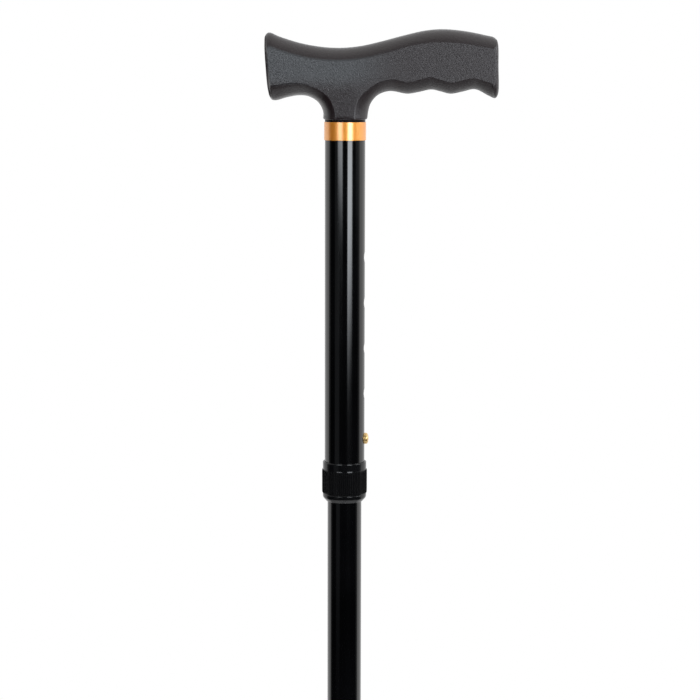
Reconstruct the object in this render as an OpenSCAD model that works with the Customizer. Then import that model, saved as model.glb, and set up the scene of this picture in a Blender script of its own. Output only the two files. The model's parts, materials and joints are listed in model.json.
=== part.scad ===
/* [Height] */
// Floor to the lowest fold seam
tip_section = 178; // [165:1:200]
// Length of each middle folding section, seam to seam
fold_section = 180; // [165:1:200]
// Highest fold seam to the snap button
button_reach = 176; // [165:1:210]
// Distance between two adjustment holes
hole_pitch = 25.4; // [20:0.2:30]
// Number of adjustment holes
hole_count = 5; // [2:1:6]
// Trim ring to the highest adjustment hole
ring_reach = 64.2; // [55:0.2:90]

/* [Tubes] */
// Outer diameter of the folding tubes
shaft_d = 19; // [18:0.5:22]
// Wall of the folding tubes
shaft_wall = 1.2; // [1:0.1:1.6]
// Wall of the handle tube
grip_wall = 1.2; // [1:0.1:1.6]
// Radial space between the handle tube and the tube that slides in it
slide_space = 0.4; // [0.3:0.05:0.6]

/* [Handle] */
// Reach of the nose beyond the neck
nose_length = 31.7; // [28:0.1:40]
// Reach of the finger grip beyond the neck
grip_length = 70.9; // [60:0.1:80]
// Height of the handle above its neck
handle_height = 49.1; // [44:0.1:56]
// Thickness across the two flat side panels
handle_thickness = 22; // [19:0.5:23]
// Radius of the neck and of the rolled edges
neck_r = 12.1; // [11.8:0.1:13]
// Depth of the moulded stem in the handle tube
stem_length = 34; // [24:1:38]
// Diameter of the cross pin through the stem
stem_pin_d = 3; // [2:0.5:4]

/* [Trim ring] */
// Height of the trim ring
ring_height = 10; // [8:0.1:14]
// Wall of the trim ring
ring_wall = 0.4; // [0.3:0.05:0.8]
// Shadow gap between the trim ring and the handle
ring_seam = 1.2; // [0.4:0.1:1.5]

/* [Lock nut] */
// Snap button to the top of the lock nut
nut_drop = 12.8; // [9:0.1:16]
// Height of the plain ring above the knurl
nut_top_ring = 4.1; // [3.5:0.1:6]
// Height of the knurled band
nut_knurl = 14; // [10:0.1:16]
// Height of the plain ring below the knurl
nut_low_ring = 2; // [2:0.1:4]
// Height of the taper at the foot of the nut
nut_taper = 2.3; // [1.5:0.1:3]
// Wall of the nut over the handle tube
nut_wall = 0.95; // [0.8:0.05:1.5]
// Step from the plain rings out to the knurl
knurl_step = 0.4; // [0.4:0.05:1]
// Number of ribs round the knurl
rib_count = 72; // [36:4:90]
// Depth of the valleys between the ribs
rib_depth = 0.28; // [0.15:0.01:0.4]
// Height of the squeeze ring under the handle tube
olive_height = 6.4; // [5:0.1:8]

/* [Snap button] */
// Diameter of the button
button_d = 6.2; // [5:0.1:7]
// Reach of the button outside the handle tube
button_proud = 2.3; // [1.5:0.1:3]
// Height of the domed end of the button
button_dome = 1.3; // [0.8:0.1:1.5]
// Length of the leaf spring below the button
spring_length = 24; // [18:1:30]
// Width of the leaf spring
spring_width = 7; // [5:0.5:8]
// Thickness of the leaf spring
spring_t = 0.6; // [0.4:0.1:0.8]

/* [Fold joints] */
// Distance between the middles of two sections folded together
fold_spacing = 30; // [29.5:0.5:34]
// Height of the collar on each side of a seam
collar_height = 3; // [2:0.5:5]
// Step from the tube out to the collar
collar_step = 0.75; // [0.5:0.05:1]
// Depth of each sleeve and each plug in its tube
insert_depth = 22; // [15:1:30]
// Wall of the socket sleeve
sleeve_wall = 0.95; // [0.8:0.05:1.2]
// Length of the rounded nose that enters the sleeve
nose_reach = 12.5; // [9:0.5:13]

/* [Cord] */
// Diameter of the elastic cord
cord_d = 3.2; // [2.5:0.1:3.6]
// Snap button to the plug that anchors the cord
anchor_drop = 46; // [42:1:60]
// Height of the anchor plug
anchor_height = 12; // [8:1:20]
// Length of the crimped stop at each end of the cord
stop_length = 8; // [6:0.5:10]
// Diameter of the crimped stop
stop_d = 7; // [6:0.5:8]

/* [Tip] */
// Diameter of the foot of the rubber tip
tip_d = 34; // [30:0.5:35]
// Height of the rubber tip
tip_height = 42; // [38:1:55]
// Rubber under the steel washer
tip_floor = 12.5; // [9:0.5:15]
// Wall of the rubber sleeve round the tube
tip_wall = 2.6; // [2:0.1:3.5]
// Number of grip rings round the sleeve
tip_ring_count = 3; // [2:1:4]
// Thickness of the steel washer in the tip
washer_t = 1.5; // [1:0.1:2]
// Height of the plug in the end of the last tube
tip_plug_height = 20; // [15:1:30]

/* [Hidden] */
$fn = 96;
// One overrun serves every cut
over = 1;
// Clearances of fixed fits, running fits, seams and holes
fit_gap = 0.05;
run_gap = 0.1;
seam_gap = 0.1;
hole_play = 0.2;
cord_play = 0.3;

// Radii of the tubes
shaft_r = shaft_d / 2;
shaft_bore_r = shaft_r - shaft_wall;
grip_bore_r = shaft_r + slide_space;
grip_r = grip_bore_r + grip_wall;
insert_r = shaft_bore_r - fit_gap;
cord_r = cord_d / 2;
cord_hole_r = cord_r + cord_play;

// Levels above the floor
low_seam = tip_section;
mid_seam = low_seam + fold_section;
top_seam = mid_seam + fold_section;
button_z = top_seam + button_reach;
top_hole_z = button_z + (hole_count - 1) * hole_pitch;
ring_z = top_hole_z + ring_reach;
handle_z = ring_z + ring_height + ring_seam;
nut_height = nut_top_ring + nut_knurl + nut_low_ring + nut_taper;
nut_top = button_z - nut_drop;
nut_z = nut_top - nut_height;

// Sizes of the handle outline, in shares of what they follow.
// Across, -1 to 1 spans the neck, -2 is the end of the nose and 2 the end of the grip.
// Upward, 1 is the crown.
flat_share = sqrt(1 - pow(handle_thickness / (2 * neck_r), 2));
rim_shares = [
    [-1, 0], [-0.995, 0.087], [-1.08, 0.19], [-1.25, 0.257], [-1.42, 0.268],
    [-1.625, 0.245], [-1.82, 0.212], [-1.89, 0.224], [-1.94, 0.32], [-1.979, 0.58],
    [-2, 0.837], [-1.985, 0.934], [-1.928, 0.96], [-1.75, 0.916], [-1.4, 0.847],
    [-1.04, 0.805], [-0.25, 0.793], [0.65, 0.812], [1.11, 0.866], [1.28, 0.931],
    [1.45, 0.986], [1.585, 1], [1.745, 0.98], [1.9, 0.937], [1.975, 0.908],
    [1.995, 0.86], [2.001, 0.58], [2.004, 0.285], [1.984, 0.242], [1.935, 0.268],
    [1.83, 0.339], [1.73, 0.311], [1.642, 0.289], [1.56, 0.316], [1.495, 0.335],
    [1.392, 0.306], [1.31, 0.288], [1.17, 0.317], [1.08, 0.271], [1.025, 0.178],
    [1.007, 0.087], [1, 0]
];
panel_shares = [
    [-flat_share, 0], [-0.455, 0.087], [-0.76, 0.25], [-1.16, 0.355], [-1.385, 0.401],
    [-1.62, 0.401], [-1.835, 0.378], [-1.89, 0.38], [-1.908, 0.43], [-1.93, 0.6],
    [-1.947, 0.75], [-1.95, 0.778], [-1.925, 0.788], [-1.735, 0.748], [-1.37, 0.681],
    [-1.02, 0.647], [-0.25, 0.641], [0.68, 0.662], [1.13, 0.726], [1.297, 0.802],
    [1.453, 0.843], [1.585, 0.851], [1.733, 0.836], [1.878, 0.803], [1.95, 0.782],
    [1.966, 0.765], [1.97, 0.58], [1.97, 0.425], [1.958, 0.402], [1.93, 0.411],
    [1.805, 0.459], [1.723, 0.435], [1.642, 0.411], [1.561, 0.437], [1.48, 0.47],
    [1.397, 0.442], [1.313, 0.415], [1.173, 0.446], [1.07, 0.4], [0.66, 0.25],
    [0.445, 0.11], [flat_share, 0]
];
rim_steps = 3;
roll_steps = 12;
flat_angle = asin(handle_thickness / (2 * neck_r));

// Trim ring and stem
ring_r = grip_r + fit_gap + ring_wall;
ring_edge = ring_wall / 2;
stem_r = grip_bore_r - fit_gap;
stem_pin_z = ring_z + ring_height / 2;
stem_pin_length = 2 * (grip_r - fit_gap);
stem_chamfer = 1.5;

// Lock nut and squeeze ring
nut_bore_r = grip_r + run_gap;
nut_ring_r = nut_bore_r + nut_wall;
knurl_r = nut_ring_r + knurl_step;
nut_edge = nut_wall / 2;
knurl_z = nut_z + nut_taper + nut_low_ring;
lip_r = shaft_r + 2 * run_gap;
lip_height = nut_taper;
olive_z = nut_z + lip_height;
olive_slit = 1.4;
olive_foot_share = 0.45;
grip_tube_z = olive_z + olive_height;
olive_foot_r = shaft_r + run_gap + olive_foot_share * (grip_r - shaft_r);

// Snap button and leaf spring
hole_r = button_d / 2 + hole_play;
button_tip_x = grip_r + button_proud;
button_neck_x = button_tip_x - button_dome;
button_foot_r = button_d / 2 + 2 * hole_play + spring_t;
button_foot_x = sqrt(pow(shaft_bore_r, 2) - pow(button_foot_r, 2)) - run_gap;
button_foot_t = 1;
spring_front_x = button_foot_x - button_foot_t - spring_t / 2;
spring_back_x = -sqrt(pow(shaft_bore_r, 2) - pow(spring_width / 2, 2)) + run_gap + spring_t / 2;
spring_bend_r = 2.2;
spring_rise = button_foot_r + spring_t;

// Fold joints
socket_r = insert_r - sleeve_wall;
collar_r = shaft_r + collar_step;
collar_edge = collar_step / 2;
hinge_offset = fold_spacing / 2;
nose_clear = 0.3;
nose_swing = hinge_offset + socket_r;
nose_steps = 8;

// Slide bush on the upper tube
bush_r = grip_bore_r - run_gap;
bush_head = 3;
bush_depth = 8;
bush_bore_r = shaft_bore_r - sleeve_wall - fit_gap;
upper_tube_rise = 17;
upper_tube_top = button_z + upper_tube_rise;

// Cord, anchor and stops
anchor_z = button_z - anchor_drop - anchor_height;
cord_top = anchor_z + anchor_height + stop_length;
last_tube_z = tip_floor + washer_t;
plug_pocket = stop_length + seam_gap;
cord_z = last_tube_z + seam_gap;
stop_edge = 0.6;

// Rubber tip
tip_bore_r = shaft_r + fit_gap;
tip_sleeve_r = tip_bore_r + tip_wall;
tip_foot_r = tip_d / 2;
tip_foot_height = 6;
tip_round = 1.5;
tip_flare_height = tip_floor + washer_t;
tip_ring_step = 1.1;
tip_ring_pitch = (tip_height - tip_flare_height) / (tip_ring_count + 1);
tread_depth = 1.6;
tread_shares = [0.36, 0.5, 0.66, 0.8];

// A smooth curve through hand-set points
function knot(a, b) = sqrt(norm(b - a));
function between(a, b, ta, tb, t) = ((tb - t) * a + (t - ta) * b) / (tb - ta);
function curve_at(p0, p1, p2, p3, s) =
    let (
        t1 = knot(p0, p1),
        t2 = t1 + knot(p1, p2),
        t3 = t2 + knot(p2, p3),
        t = t1 + (t2 - t1) * s,
        a1 = between(p0, p1, 0, t1, t),
        a2 = between(p1, p2, t1, t2, t),
        a3 = between(p2, p3, t2, t3, t),
        b1 = between(a1, a2, 0, t2, t),
        b2 = between(a2, a3, t1, t3, t)
    ) between(b1, b2, t1, t2, t);
function with_ends(p) =
    let (n = len(p) - 1) concat([2 * p[0] - p[1]], p, [2 * p[n] - p[n - 1]]);
function smooth(p, steps) =
    let (q = with_ends(p)) concat(
        [for (i = [1:len(p) - 1], k = [0:steps - 1])
            curve_at(q[i - 1], q[i], q[i + 1], q[i + 2], k / steps)],
        [p[len(p) - 1]]
    );

// Handle outline: shares to sizes
function across(u) =
    u > 1 ? neck_r + (u - 1) * grip_length :
    u < -1 ? -neck_r + (u + 1) * nose_length :
    u * neck_r;
function outline(shares) = smooth(
    [for (s = shares) [across(s[0]), s[1] * handle_height]], rim_steps);

// A flat outline, run clockwise, cut into triangles one corner at a time
function turn(a, b, c) = (b[0] - a[0]) * (c[1] - a[1]) - (b[1] - a[1]) * (c[0] - a[0]);
function holds(a, b, c, p) = turn(a, b, p) <= 0 && turn(b, c, p) <= 0 && turn(c, a, p) <= 0;
function corner(left, i) =
    let (n = len(left)) [left[(i + n - 1) % n], left[i], left[(i + 1) % n]];
function is_free(p, left, k) =
    turn(p[k[0]], p[k[1]], p[k[2]]) < 0 && len([for (j = left)
        if (j != k[0] && j != k[1] && j != k[2] && holds(p[k[0]], p[k[1]], p[k[2]], p[j])) j]) == 0;
function free_corner(p, left, i = 0) =
    is_free(p, left, corner(left, i)) ? i : free_corner(p, left, i + 1);
function triangles(p, left) =
    len(left) == 3 ? [left] :
    let (i = free_corner(p, left)) concat(
        [corner(left, i)],
        triangles(p, [for (j = [0:len(left) - 1]) if (j != i) left[j]])
    );

// A flat strip of even thickness along a bent path
function side_step(path, i) =
    let (
        a = path[max(i - 1, 0)],
        b = path[min(i + 1, len(path) - 1)],
        d = (b - a) / norm(b - a)
    ) [-d[1], d[0]];
function strip(path, t) = concat(
    [for (i = [0:len(path) - 1]) path[i] + side_step(path, i) * t / 2],
    [for (i = [len(path) - 1:-1:0]) path[i] - side_step(path, i) * t / 2]
);

module tube(outer_r, bore_r, bottom, top) {
    translate([0, 0, bottom])
        difference() {
            cylinder(r = outer_r, h = top - bottom);
            translate([0, 0, -over])
                cylinder(r = bore_r, h = top - bottom + 2 * over);
        }
}

// A round hole through the +X wall only
module button_hole(level) {
    translate([0, 0, level])
        rotate([0, 90, 0])
            cylinder(r = hole_r, h = grip_r + over);
}

// Rings of the rolled edge, from one flat panel to the other
module handle_shell() {
    rim = outline(rim_shares);
    panel = outline(panel_shares);
    n = len(rim);
    points = [for (k = [0:roll_steps], i = [0:n - 1])
        let (
            roll = flat_angle * (2 * k / roll_steps - 1),
            inward = (1 - cos(roll)) / (1 - cos(flat_angle)),
            p = rim[i] + (panel[i] - rim[i]) * inward
        ) [p[0], neck_r * sin(roll), p[1]]];
    near_panel = triangles(panel, [for (i = [0:n - 1]) i]);
    far_panel = [for (t = near_panel) [t[2], t[1], t[0]] + roll_steps * n * [1, 1, 1]];
    sides = [for (k = [0:roll_steps - 1], i = [0:n - 1], half = [0, 1])
        let (a = k * n + i, b = k * n + (i + 1) % n)
        half == 0 ? [a, a + n, b + n] : [a, b + n, b]];
    polyhedron(points = points, faces = concat(near_panel, far_panel, sides));
}

module handle() {
    color("#45474a")
        translate([0, 0, handle_z])
            difference() {
                union() {
                    handle_shell();
                    translate([0, 0, stem_chamfer - stem_length])
                        cylinder(r = stem_r, h = stem_length - stem_chamfer + over);
                    translate([0, 0, -stem_length])
                        cylinder(r1 = stem_r - stem_chamfer, r2 = stem_r, h = stem_chamfer);
                }
                translate([0, 0, stem_pin_z - handle_z])
                    rotate([90, 0, 0])
                        cylinder(r = stem_pin_d / 2 + fit_gap, h = 2 * grip_r, center = true);
            }
}

module trim_ring() {
    bore_r = grip_r + fit_gap;
    color("#d9b25a")
        translate([0, 0, ring_z])
            rotate_extrude()
                polygon([
                    [bore_r, 0], [ring_r - ring_edge, 0], [ring_r, ring_edge],
                    [ring_r, ring_height - ring_edge], [ring_r - ring_edge, ring_height],
                    [bore_r, ring_height]
                ]);
}

module handle_tube() {
    color("#141416")
        difference() {
            tube(grip_r, grip_bore_r, grip_tube_z, handle_z);
            for (i = [0:hole_count - 1])
                button_hole(button_z + i * hole_pitch);
            translate([0, 0, stem_pin_z])
                rotate([90, 0, 0])
                    cylinder(r = stem_pin_d / 2 + fit_gap, h = 2 * (grip_r + over), center = true);
        }
}

module stem_pin() {
    color("silver")
        translate([0, 0, stem_pin_z])
            intersection() {
                rotate([90, 0, 0])
                    cylinder(r = stem_pin_d / 2, h = stem_pin_length, center = true);
                cylinder(r = grip_r, h = 2 * stem_pin_d, center = true);
            }
}

// Ribbed band with a bevel at each end
module knurl() {
    intersection() {
        translate([0, 0, -nut_edge])
            linear_extrude(nut_knurl + 2 * nut_edge)
                polygon([for (i = [0:2 * rib_count - 1])
                    (knurl_r - (i % 2) * rib_depth)
                    * [cos(180 * i / rib_count), sin(180 * i / rib_count)]]);
        rotate_extrude()
            polygon([
                [0, -nut_edge], [nut_ring_r - nut_edge, -nut_edge],
                [knurl_r + knurl_step, 2 * knurl_step],
                [knurl_r + knurl_step, nut_knurl - 2 * knurl_step],
                [nut_ring_r - nut_edge, nut_knurl + nut_edge], [0, nut_knurl + nut_edge]
            ]);
    }
}

module lock_nut() {
    color("#17171a")
        translate([0, 0, nut_z])
            difference() {
                union() {
                    rotate_extrude()
                        polygon([
                            [0, 0], [lip_r + nut_edge, 0], [nut_ring_r, nut_taper],
                            [nut_ring_r, nut_height - nut_edge],
                            [nut_ring_r - nut_edge, nut_height], [0, nut_height]
                        ]);
                    translate([0, 0, knurl_z - nut_z])
                        knurl();
                }
                rotate_extrude()
                    polygon([
                        [0, -over], [lip_r, -over], [lip_r, lip_height],
                        [olive_foot_r + run_gap, lip_height],
                        [nut_bore_r, lip_height + olive_height],
                        [nut_bore_r, nut_height + over], [0, nut_height + over]
                    ]);
            }
}

module lock_olive() {
    color("#e8e6df")
        difference() {
            translate([0, 0, olive_z])
                rotate_extrude()
                    polygon([
                        [shaft_r + run_gap, seam_gap], [olive_foot_r, seam_gap],
                        [grip_r - fit_gap, olive_height], [shaft_r + run_gap, olive_height]
                    ]);
            translate([-grip_r - over, -olive_slit / 2, olive_z - over])
                cube([grip_r + over, olive_slit, olive_height + 2 * over]);
        }
}

module upper_tube() {
    color("#141416")
        difference() {
            tube(shaft_r, shaft_bore_r, top_seam + collar_height, upper_tube_top);
            button_hole(button_z);
        }
}

module slide_bush() {
    color("#e8e6df")
        translate([0, 0, upper_tube_top])
            rotate_extrude()
                polygon([
                    [bush_bore_r, -bush_depth], [insert_r, -bush_depth], [insert_r, 0],
                    [bush_r, 0], [bush_r, bush_head], [bush_bore_r, bush_head]
                ]);
}

// Spring clip: the head stands on the front leaf
module snap_button() {
    head_r = button_d / 2;
    head = concat(
        [
            [0, spring_front_x], [button_foot_r, spring_front_x],
            [button_foot_r, button_foot_x], [head_r, button_foot_x]
        ],
        [for (a = [0:15:90])
            [head_r * cos(a), button_neck_x + button_dome * sin(a)]]
    );
    path = concat(
        [[spring_back_x, spring_rise], [spring_back_x, -spring_rise]],
        [for (a = [180:30:360])
            [spring_bend_r * cos(a), spring_bend_r * (1 + sin(a)) - spring_length]],
        [[spring_front_x, -spring_rise], [spring_front_x, spring_rise]]
    );
    color("#d8a94e")
        translate([0, 0, button_z]) {
            rotate([0, 90, 0])
                rotate_extrude()
                    polygon(head);
            rotate([90, 0, 0])
                linear_extrude(spring_width, center = true)
                    polygon(strip(path, spring_t));
        }
}

module cord_anchor() {
    color("#2b2b2e")
        tube(insert_r, cord_hole_r, anchor_z, anchor_z + anchor_height);
}

// Crimped sleeve on an end of the cord
module cord_stop(bottom) {
    r = stop_d / 2;
    bore_r = cord_r + fit_gap;
    color("silver")
        translate([0, 0, bottom])
            rotate_extrude()
                polygon([
                    [bore_r, 0], [r - stop_edge, 0], [r, stop_edge],
                    [r, stop_length - stop_edge], [r - stop_edge, stop_length],
                    [bore_r, stop_length]
                ]);
}

module cord_stop_top() cord_stop(anchor_z + anchor_height);

module cord_stop_bottom() cord_stop(cord_z);

module elastic_cord() {
    color("#26262a")
        translate([0, 0, cord_z])
            cylinder(r = cord_r, h = cord_top - cord_z);
}

// Lined mouth of the tube above a seam
module socket_sleeve(seam) {
    color("#1d1d20")
        translate([0, 0, seam])
            rotate_extrude()
                polygon([
                    [socket_r, 0], [collar_r, 0],
                    [collar_r, collar_height - collar_edge],
                    [collar_r - collar_edge, collar_height], [insert_r, collar_height],
                    [insert_r, collar_height + insert_depth],
                    [socket_r, collar_height + insert_depth]
                ]);
}

// Plug in the tube below a seam: its nose just clears the mouth as it swings out
module joint_plug(seam) {
    color("#1d1d20")
        translate([0, 0, seam])
            rotate_extrude()
                polygon(concat(
                    [
                        [cord_hole_r, -collar_height - insert_depth],
                        [insert_r, -collar_height - insert_depth],
                        [insert_r, -collar_height], [collar_r - collar_edge, -collar_height],
                        [collar_r, collar_edge - collar_height], [collar_r, -seam_gap]
                    ],
                    [for (i = [0:nose_steps])
                        let (z = (nose_reach + seam_gap) * i / nose_steps - seam_gap)
                        [sqrt(pow(nose_swing, 2) - pow(z, 2)) - hinge_offset - nose_clear, z]],
                    [[cord_hole_r, nose_reach]]
                ));
}

module shaft_tube(bottom, seam) {
    color("#141416")
        tube(shaft_r, shaft_bore_r, bottom, seam - collar_height);
}

module socket_sleeve_1() socket_sleeve(top_seam);

module socket_sleeve_2() socket_sleeve(mid_seam);

module socket_sleeve_3() socket_sleeve(low_seam);

module joint_plug_1() joint_plug(top_seam);

module joint_plug_2() joint_plug(mid_seam);

module joint_plug_3() joint_plug(low_seam);

module shaft_tube_2() shaft_tube(mid_seam + collar_height, top_seam);

module shaft_tube_3() shaft_tube(low_seam + collar_height, mid_seam);

module shaft_tube_4() shaft_tube(last_tube_z, low_seam);

module tip_plug() {
    pocket_r = stop_d / 2 + cord_play;
    color("#2b2b2e")
        translate([0, 0, last_tube_z])
            rotate_extrude()
                polygon([
                    [pocket_r, 0], [insert_r, 0], [insert_r, tip_plug_height],
                    [cord_hole_r, tip_plug_height], [cord_hole_r, plug_pocket],
                    [pocket_r, plug_pocket]
                ]);
}

module tip_washer() {
    color("silver")
        translate([0, 0, tip_floor])
            cylinder(r = shaft_r, h = washer_t);
}

module rubber_tip() {
    color("#1b1b1c")
        difference() {
            union() {
                rotate_extrude()
                    polygon([
                        [0, 0], [tip_foot_r - tip_round, 0], [tip_foot_r, tip_round],
                        [tip_foot_r, tip_foot_height - tip_round],
                        [tip_foot_r - tip_round, tip_foot_height],
                        [tip_sleeve_r, tip_flare_height],
                        [tip_sleeve_r, tip_height - tip_ring_step],
                        [tip_sleeve_r - tip_ring_step, tip_height], [0, tip_height]
                    ]);
                for (i = [1:tip_ring_count])
                    translate([0, 0, tip_flare_height + i * tip_ring_pitch])
                        rotate_extrude()
                            polygon([
                                [tip_bore_r + tip_ring_step, -2 * tip_ring_step],
                                [tip_sleeve_r, -2 * tip_ring_step],
                                [tip_sleeve_r + tip_ring_step, -tip_ring_step],
                                [tip_sleeve_r + tip_ring_step, tip_ring_step],
                                [tip_sleeve_r, 2 * tip_ring_step],
                                [tip_bore_r + tip_ring_step, 2 * tip_ring_step]
                            ]);
            }
            translate([0, 0, tip_floor])
                cylinder(r = tip_bore_r, h = tip_height);
            for (i = [0:2:len(tread_shares) - 1])
                translate([0, 0, -over])
                    difference() {
                        cylinder(r = tread_shares[i + 1] * tip_foot_r, h = tread_depth + over);
                        cylinder(r = tread_shares[i] * tip_foot_r, h = tread_depth + over);
                    }
        }
}

handle();
trim_ring();
handle_tube();
stem_pin();
lock_nut();
lock_olive();
upper_tube();
slide_bush();
snap_button();
cord_anchor();
cord_stop_top();
elastic_cord();
cord_stop_bottom();
socket_sleeve_1();
socket_sleeve_2();
socket_sleeve_3();
joint_plug_1();
joint_plug_2();
joint_plug_3();
shaft_tube_2();
shaft_tube_3();
shaft_tube_4();
tip_plug();
tip_washer();
rubber_tip();
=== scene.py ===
import json
import math

import bpy
import numpy as np
from mathutils import Matrix, Vector


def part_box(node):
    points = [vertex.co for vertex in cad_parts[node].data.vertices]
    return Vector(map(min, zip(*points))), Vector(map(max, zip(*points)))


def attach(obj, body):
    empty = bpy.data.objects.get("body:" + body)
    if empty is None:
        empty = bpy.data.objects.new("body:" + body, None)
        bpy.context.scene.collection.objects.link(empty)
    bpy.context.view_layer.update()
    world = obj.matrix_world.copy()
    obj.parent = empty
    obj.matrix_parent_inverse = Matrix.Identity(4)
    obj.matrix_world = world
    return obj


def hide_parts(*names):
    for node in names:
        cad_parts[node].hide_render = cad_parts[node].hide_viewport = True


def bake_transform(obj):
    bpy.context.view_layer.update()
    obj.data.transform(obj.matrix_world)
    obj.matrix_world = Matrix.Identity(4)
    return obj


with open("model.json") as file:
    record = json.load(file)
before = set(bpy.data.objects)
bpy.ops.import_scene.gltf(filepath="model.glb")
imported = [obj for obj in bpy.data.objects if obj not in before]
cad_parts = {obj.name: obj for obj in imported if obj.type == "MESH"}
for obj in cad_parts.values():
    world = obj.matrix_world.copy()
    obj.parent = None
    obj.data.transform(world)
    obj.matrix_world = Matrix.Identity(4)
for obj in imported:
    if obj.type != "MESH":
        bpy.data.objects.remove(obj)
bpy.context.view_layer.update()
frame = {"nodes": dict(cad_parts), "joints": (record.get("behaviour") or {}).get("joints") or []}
nodes = frame["nodes"]
scene = bpy.context.scene
mm = 0.001
print("frame loaded:", len(nodes), "nodes")


# node graphs

class Wire:
    # an output socket that takes part in Python sums
    def __init__(self, graph, socket):
        self.graph = graph
        self.socket = socket

    def sum(self, operation, *parts):
        return self.graph.node("ShaderNodeMath", {"operation": operation}, dict(enumerate(parts)))

    def __add__(self, other):
        return self.sum("ADD", self, other)

    def __radd__(self, other):
        return self.sum("ADD", other, self)

    def __sub__(self, other):
        return self.sum("SUBTRACT", self, other)

    def __rsub__(self, other):
        return self.sum("SUBTRACT", other, self)

    def __mul__(self, other):
        return self.sum("MULTIPLY", self, other)

    def __rmul__(self, other):
        return self.sum("MULTIPLY", other, self)

    def __pow__(self, other):
        return self.sum("POWER", self, other)

    def __abs__(self):
        return self.sum("ABSOLUTE", self)

    def sine(self):
        return self.sum("SINE", self)

    def above(self, other):
        return self.sum("MAXIMUM", self, other)

    def part(self, axis):
        return self.graph.node("ShaderNodeSeparateXYZ", None, {"Vector": self}, axis)

    # smooth rise from 0 at low to top at high
    def ramp(self, low, high, top=1.0):
        return self.graph.node("ShaderNodeMapRange", {"interpolation_type": "SMOOTHSTEP"}, {
            "Value": self, "From Min": low, "From Max": high, "To Max": top})


class Graph:
    def __init__(self, tree):
        self.tree = tree

    # settings go on first, then values or wires into the sockets
    def node(self, kind, settings=None, sockets=None, out=0):
        made = self.tree.nodes.new(kind)
        for key, value in (settings or {}).items():
            setattr(made, key, value)
        for key, value in (sockets or {}).items():
            if isinstance(value, Wire):
                self.tree.links.new(value.socket, made.inputs[key])
            else:
                made.inputs[key].default_value = value
        return Wire(self, made.outputs[out]) if len(made.outputs) else made


class Finish(Graph):
    # a material with a Principled shader and the patterns that feed it
    def __init__(self, name):
        self.material = bpy.data.materials.new(name)
        self.material.use_nodes = True
        super().__init__(self.material.node_tree)
        self.tree.nodes.clear()
        self.spot = self.node("ShaderNodeTexCoord", out="Object")

    # scale is one number, or one for each axis where the pattern is drawn out
    def noise(self, scale, detail=2, rough=0.5):
        spot = self.spot
        if isinstance(scale, tuple):
            spot = self.node("ShaderNodeMapping", None, {"Vector": spot, "Scale": scale})
            scale = 1
        return self.node("ShaderNodeTexNoise", None, {
            "Vector": spot, "Scale": scale, "Detail": detail, "Roughness": rough})

    def cells(self, scale):
        return self.node("ShaderNodeTexVoronoi", None, {"Vector": self.spot, "Scale": scale})

    # first and second are colours, or wires that carry one
    def tone(self, share, first, second):
        first, second = (c if isinstance(c, Wire) else (*c, 1) for c in (first, second))
        return self.node("ShaderNodeMix", {"data_type": "RGBA"}, {0: share, 6: first, 7: second}, 2)

    def bump(self, height, strength, distance, under=None):
        sockets = {"Height": height, "Strength": strength, "Distance": distance}
        if under:
            sockets["Normal"] = under
        return self.node("ShaderNodeBump", None, sockets)

    # baseColor=... feeds the socket Base Color, and so on
    def close(self, **sockets):
        named = {"".join(" " + c if c.isupper() else c for c in key).title()
                 .replace("Ior", "IOR"): value for key, value in sockets.items()}
        shader = self.node("ShaderNodeBsdfPrincipled", None, named)
        self.node("ShaderNodeOutputMaterial", None, {"Surface": shader})
        return self.material


# finishes

def gripPlastic():
    look = {
        # warm is the plastic's own dark tone; the cool tone is random mottling and also the painted light on
        # the flat sides
        "warm": (0.0116, 0.0054, 0.0060), "cool": (0.0408, 0.0429, 0.0463), "spread": (0.1, 0.9),
        "grain": 1050, "grainRough": 0.6, "pits": 1680, "patches": 42,
        "litPanelShare": 0.62, "mottledShare": 0.38, "deeper": (0.7, 0.5),
        "side": (0.0102, 0.0109), "litPanelLevel": (0.905, 0.917), "litPanelEnd": (-0.005, 0.035),
        "neckLevel": (0.904, 0.918), "neckEnd": (0.002, 0.012),
        "dull": 0.43, "dullGrain": 0.10, "litPanelGloss": 0.03, "glossNeck": 0.18,
    }
    f = Finish("gripPlastic")
    grain = f.noise(look["grain"], detail=3, rough=look["grainRough"])
    patches = f.noise(look["patches"], detail=3)
    x, y, z = (f.spot.part(axis) for axis in "XYZ")
    # painted light: the flat sides get a lighter, bluish tone that stands for the lamps' light on them,
    # fading out towards the neck and the grip's right part, which keep the darker tone as painted shade; the
    # same mask makes the flat sides glossier with deeper grain, and the neck is smoother
    litAndGlossyPanel = abs(y).ramp(*look["side"]) * z.ramp(*look["litPanelLevel"]) * (1 - x.ramp(*look["litPanelEnd"]))
    neck = (1 - z.ramp(*look["neckLevel"])) * (1 - x.ramp(*look["neckEnd"]))
    # share of the cool tone: painted light on the flat sides, plus random mottling from grain and patches
    share = look["litPanelShare"] * litAndGlossyPanel + look["mottledShare"] * (0.5 * grain + 0.5 * patches)
    rough = look["dull"] + look["dullGrain"] * grain - look["litPanelGloss"] * litAndGlossyPanel
    plain, more = look["deeper"]
    pitted = f.bump(f.cells(look["pits"]), strength=0.25, distance=0.00010)
    return f.close(
        baseColor=f.tone(share.ramp(*look["spread"]), look["warm"], look["cool"]),
        roughness=rough - look["glossNeck"] * neck,
        specularIorLevel=0.72, sheenWeight=0.26, sheenRoughness=0.35,
        normal=f.bump(grain * (plain + more * litAndGlossyPanel), strength=0.6, distance=0.00036, under=pitted))


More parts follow.
